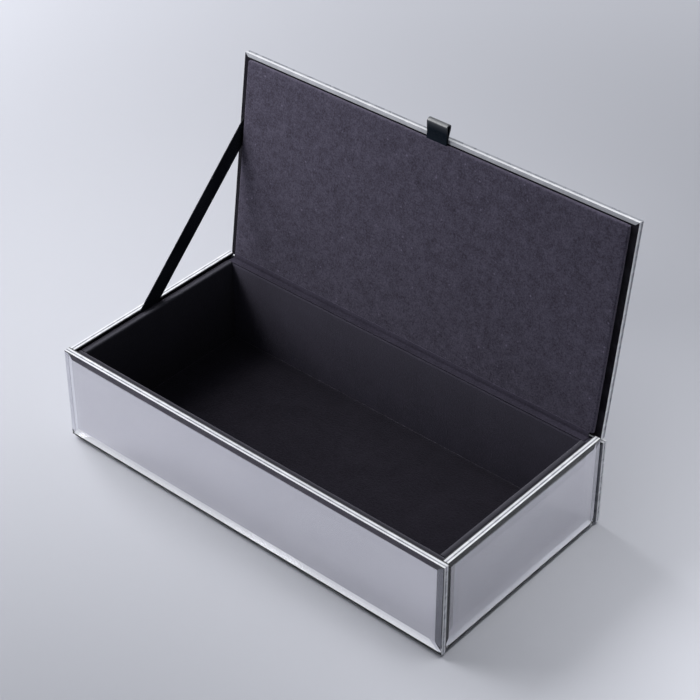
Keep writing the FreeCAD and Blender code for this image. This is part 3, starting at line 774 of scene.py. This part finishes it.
def soft_panel(size, round_radius, crown, rise, cells, wave, square_near=False):
    """A closed soft slab on the XY plane, crowned on top, with rounded upper edges.

    With square_near the edge at Y 0 stays square.
    """
    columns, rows = cells
    width, depth, height = size
    near = 0.0 if square_near else round_radius
    flat_width, flat_depth = width - 2 * round_radius, depth - near - round_radius
    build = bmesh.new()
    grid = []
    for j in range(rows + 1):
        row = []
        for i in range(columns + 1):
            spot = Vector((round_radius + flat_width * i / columns, near + flat_depth * j / rows, 0))
            ripple = wave * noise.noise(spot / PANEL_RIPPLE) * min(1.0, RIPPLE_GAIN * rise[j][i])
            lift = crown * rise[j][i] + ripple
            row.append(build.verts.new((spot.x, spot.y, height - crown + lift)))
        grid.append(row)
    grid_faces(build, grid)
    border = grid_border(columns, rows)
    count = len(border)
    facing = [Vector((0, 0)) if square_near and side == (0, -1) else Vector(side) for _, side in border]
    outward = [side if side == facing[i - 1] else (side + facing[i - 1]).normalized()
               for i, side in enumerate(facing)]
    last = [grid[j][i] for (i, j), _ in border]
    base = [vertex.co.copy() for vertex in last]
    turns = [math.pi / 2 * k / ROUND_STEPS for k in range(1, ROUND_STEPS + 1)]
    levels = [(round_radius * math.sin(turn), round_radius * (1 - math.cos(turn))) for turn in turns]
    underside = (round_radius, None)
    for out, down in levels + [underside]:
        ring = []
        for spot, direction in zip(base, outward):
            level = 0.0
            if down is not None:
                level = spot.z - (down if direction.length else down * SQUARE_DROP)
            ring.append(build.verts.new((spot.x + direction.x * out, spot.y + direction.y * out, level)))
        for i in range(count):
            build.faces.new((last[i], ring[i], ring[(i + 1) % count], last[(i + 1) % count]))
        last = ring
    build.faces.new(list(reversed(last)))
    return closed_mesh(build, "panel")


def make_floor():
    low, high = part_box("floor_pad")
    extent = high - low
    rise = draped_rise(extent.x, extent.y, FLOOR_CELLS)
    mesh = soft_panel(extent, FLOOR_ROUND, FLOOR_CROWN, rise, FLOOR_CELLS, FLOOR_WAVE)
    mesh.transform(Matrix.Translation(low))
    finish_piece("floor_velvet", mesh, SHADED_CASE_VELVET, "box", "floor_pad")


def make_lid_lining():
    """The velvet face lies downwards when the lid is shut."""
    low, high = shut_box("lid_lining")
    extent = high - low
    rise = draped_rise(extent.x, extent.y, PAD_CELLS)
    mesh = soft_panel(extent, PAD_ROUND, PAD_CROWN, rise, PAD_CELLS, PAD_WAVE, square_near=True)
    face_down = Matrix.Rotation(math.pi, 4, "X")
    mesh.transform(OPEN_LID @ Matrix.Translation(Vector((low.x, high.y, high.z))) @ face_down)
    finish_piece("lid_velvet_pad", mesh, LIT_LID_VELVET, "lid", "lid_lining")


def make_sole():
    low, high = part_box("base_felt")
    columns, rows = FELT_CELLS
    level = [[0.0] * (columns + 1) for _ in range(rows + 1)]
    mesh = soft_panel(high - low, FELT_ROUND, 0.0, level, FELT_CELLS, 0.0)
    mesh.transform(Matrix.Translation(low))
    finish_piece("felt_sole", mesh, FELT, "box", "base_felt")


make_floor()
make_lid_lining()
make_sole()


# Cloth hinge, ribbon and pull tab

def make_hinge_cloth():
    """A strip that lies on the back rim and bends up along the lid's lining."""
    low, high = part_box("hinge_cloth")
    lean = OPEN_ANGLE - math.pi / 2
    lining_low, lining_high = shut_box("lid_lining")
    rise = lining_low.z - AXIS.z + HINGE_CLEAR + HINGE_CLOTH / 2
    centre_z = low.z + HINGE_CLOTH / 2 + HINGE_BEND
    centre_y = AXIS.y + (rise - HINGE_BEND + LID_OUTWARD.z * (AXIS.z - centre_z)) / LID_OUTWARD.y
    rim_level = centre_z - HINGE_BEND
    head = AXIS + LID_ALONG * (AXIS.y - lining_high.y) + LID_OUTWARD * rise
    flap = line((low.y, rim_level), (centre_y, rim_level), FLAP_STEPS)
    turn = arc((centre_y, centre_z), HINGE_BEND, -90, -math.degrees(lean), steps=10)
    rest = line(turn[-1], (head.y, head.z), FLAP_STEPS)
    section = offset_path(flap[:-1] + turn + rest[1:], HINGE_CLOTH)

    def place(across, up, along):
        return Vector((low.x + along, across, up))

    mesh = swept(section, place, high.x - low.x, HINGE_STEPS, HINGE_WAVE)
    # Painted shade: the strip is darkest on its flap under the lid's edge and lighter as it rises.
    mark_share(mesh, "open_nap_and_painted_light", lambda spot: clamped((spot.z - rim_level) / HINGE_SHADE_RISE))
    cloth = finish_piece("hinge_strip", mesh, LIT_HINGE_VELVET, None, "hinge_cloth")
    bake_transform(cloth)
    length = sum((Vector(a) - Vector(b)).length for a, b in zip(section, section[1:])) / 2


def make_ribbon():
    """A straight band between the seam and the lid, its corners those of the CAD band."""
    low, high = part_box("stay_ribbon")
    half = (high.x - low.x) / 2
    middle = (low.x + high.x) / 2
    level = (low.z + high.z) / 2
    corners = [vertex.co.yz for vertex in frame["nodes"]["stay_ribbon"].data.vertices if vertex.co.x > middle]
    foot = sorted((spot for spot in corners if spot.y < level), key=lambda spot: spot.x)
    head = sorted((spot for spot in corners if spot.y > level), key=lambda spot: -spot.y)
    foot, head = (foot[0], foot[-1]), (head[0], head[-1])
    length = (head[0] - foot[0]).length
    columns, rows = RIBBON_CELLS
    build = bmesh.new()
    uv_layer = build.loops.layers.uv.new("strip")

    def spot(i, j, side):
        across, along = i / columns, j / rows
        point = foot[0].lerp(foot[1], across).lerp(head[0].lerp(head[1], across), along)
        share = 1.0 if i in (0, columns) else RIBBON_INNER_SHARE
        return Vector((middle + side * half * share, point.x, point.y))

    def face(corners, places):
        made = build.faces.new(corners)
        for loop, (i, j) in zip(made.loops, places):
            loop[uv_layer].uv = (i / columns * RIBBON_WIDTH / RIBBON_UV, j / rows * length / RIBBON_UV)

    sheets = [[[build.verts.new(spot(i, j, side)) for i in range(columns + 1)] for j in range(rows + 1)]
              for side in (-1, 1)]
    for sheet in sheets:
        for j in range(rows):
            for i in range(columns):
                places = [(i, j), (i + 1, j), (i + 1, j + 1), (i, j + 1)]
                face([sheet[b][a] for a, b in places], places)
    under, over = sheets
    border = [place for place, _ in grid_border(columns, rows)]
    for (i, j), (k, m) in zip(border, border[1:] + border[:1]):
        face([under[j][i], under[m][k], over[m][k], over[j][i]], [(i, j), (k, m), (k, m), (i, j)])
    mesh = closed_mesh(build, "ribbon")
    ribbon = finish_piece("ribbon_stay", mesh, RIBBON, None, "stay_ribbon", sharp=30)
    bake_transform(ribbon)


def make_pull_tab():
    """A leather strip that leaves the lid, turns over and comes back on itself."""
    low, high = shut_box("pull_tab")
    level = (low.z + high.z) / 2
    radius = (high.z - low.z) / 2 - LEATHER / 2
    nose = low.y + LEATHER / 2 + radius
    neck = shut_box("lid_pane")[0].y
    reach = math.hypot(neck - nose, LEATHER / 2)
    touch = math.degrees(math.acos(radius / reach) + math.atan2(LEATHER / 2, neck - nose))
    turn = arc((nose, level), radius, touch, 360 - touch, steps=22)
    leaving = (neck, level + LEATHER / 2)
    upper = line((high.y, leaving[1]), leaving, steps=6) + line(leaving, turn[0], steps=4)[1:-1]
    lower = [(across, 2 * level - up) for across, up in reversed(upper)]
    section = offset_path(upper + turn + lower, LEATHER * LEATHER_SHARE)

    def place(across, up, along):
        return OPEN_LID @ Vector((low.x + along, across, up))

    def polished(spot):
        """Full at the fold, none towards the lid."""
        return clamped(POLISH_FULL - ((SHUT_LID @ spot).y - low.y) / (POLISH_REACH * radius))

    mesh = swept(section, place, high.x - low.x, TAB_STEPS)
    mark_share(mesh, "polish", polished)
    tab = finish_piece("leather_pull_tab", mesh, BLACK_LEATHER, "lid", "pull_tab", sharp=40)
    soften = tab.modifiers.new("soft_edges", "BEVEL")
    soften.width = LEATHER_EDGE
    soften.segments = 2
    soften.limit_method = "ANGLE"
    soften.angle_limit = math.radians(50)


make_hinge_cloth()
make_ribbon()
make_pull_tab()


# Boards and tapes stay as they are, with their own finish

def dress_nodes(ending, finish):
    for name, node in frame["nodes"].items():
        if name.endswith(ending):
            node.data.materials.clear()
            node.data.materials.append(finish)


dress_nodes("board", BOARD)
dress_nodes("tape", FOAM_TAPE)


# Floor, light and camera

FLOOR_REACH = 12.0


def ray_sight(tree):
    """1 for what lens, mirror and glass see, 0 for light that falls on a surface."""
    rays = add_node(tree, "ShaderNodeLightPath").outputs
    return math_node(tree, "MAXIMUM", rays["Is Camera Ray"],
                     math_node(tree, "MAXIMUM", rays["Is Glossy Ray"], rays["Is Transmission Ray"]))


def floor_finish():
    """Plain pale floor that stays pale far from the lamps."""
    material, tree, shader = new_material(
        "pale_floor", Base_Color=(0.50, 0.509, 0.55, 1), Roughness=0.7, Specular_IOR_Level=0.12,
        Emission_Strength=1.0)
    away = add_node(tree, "ShaderNodeVectorMath", {"Vector": object_place(tree)}, operation="LENGTH")
    far = ranged(tree, away.outputs["Value"], 0.4, 1.15, interpolation_type="SMOOTHSTEP")
    seen = math_node(tree, "MULTIPLY", far, ray_sight(tree))
    tree.links.new(colour_mix(tree, seen, (0, 0, 0), (0.36, 0.368, 0.40)), shader.inputs["Emission Color"])
    return material


def make_floor_plane():
    corners = [(x * FLOOR_REACH, y * FLOOR_REACH, 0) for x, y in ((-1, -1), (1, -1), (1, 1), (-1, 1))]
    mesh = bpy.data.meshes.new("studio_floor")
    mesh.from_pydata(corners, [], [(0, 1, 2, 3)])
    mesh.materials.append(floor_finish())
    link_object("studio_floor", mesh)


def make_world():
    """Light that falls off towards the horizon; lens, mirror and glass see a pale room."""
    world = bpy.data.worlds.new("studio")
    world.use_nodes = True
    tree = world.node_tree
    direction = add_node(tree, "ShaderNodeTexCoord").outputs["Generated"]
    height = add_node(tree, "ShaderNodeSeparateXYZ", {"Vector": direction}).outputs["Z"]
    lit = colour_mix(tree, ranged(tree, height, 0.3, 0.95), (0.02, 0.0215, 0.024), (0.34, 0.357, 0.39))
    pale = colour_mix(tree, ranged(tree, height, 0.0, 0.7), (0.74, 0.76, 0.80), (1.10, 1.12, 1.16))
    room = colour_mix(tree, ray_sight(tree), lit, pale)
    tree.links.new(room, tree.nodes["Background"].inputs["Color"])
    bpy.context.scene.world = world


def area_light(name, place, target, side, power, tint=(1, 1, 1), spread=180):
    """A square lamp: side in metres, power in watts, spread in degrees."""
    data = bpy.data.lights.new(name, "AREA")
    data.size = side
    data.energy = power
    data.color = tint
    data.spread = math.radians(spread)
    lamp = link_object(name, data)
    lamp.location = place
    lamp.rotation_euler = (Vector(target) - Vector(place)).to_track_quat("-Z", "Y").to_euler()


def make_lamps():
    area_light("window", (-0.90, -0.05, 0.80), (0, 0, 0.05), side=0.8, power=14.6, tint=(0.985, 0.985, 1.0))
    area_light("front_fill", (-0.40, -0.32, 0.50), (-0.12, 0.08, 0.17), side=0.25, power=0.52, spread=80)
    area_light("side_panel", (0.46, 0.12, 0.9), (0.42, 0.09, 0), side=0.4, power=0.85, spread=46)


def make_camera():
    """The photo's camera, from a fit of the box's corners: focal length in pixels of a 700 pixel frame."""
    frame_pixels = 700.0
    focal_pixels = 2066.8
    azimuth, elevation = math.radians(40.91), math.radians(36.79)
    aside, above, away = 12.84 * MM, 79.96 * MM, 1280.06 * MM
    level = math.cos(elevation)
    back = Vector((math.sin(azimuth) * level, -math.cos(azimuth) * level, math.sin(elevation)))
    right = Z.cross(back).normalized()
    up = back.cross(right)
    data = bpy.data.cameras.new("photo_camera")
    data.sensor_width = 36.0
    data.lens = data.sensor_width * focal_pixels / frame_pixels
    data.clip_start = 0.05
    data.clip_end = 30
    camera = link_object("photo_camera", data)
    pose = Matrix((right, up, back)).transposed().to_4x4()
    pose.translation = right * aside + up * above + back * away
    camera.matrix_world = pose
    bpy.context.scene.camera = camera


make_floor_plane()
make_world()
make_lamps()
make_camera()
bpy.context.scene.view_settings.view_transform = "Standard"
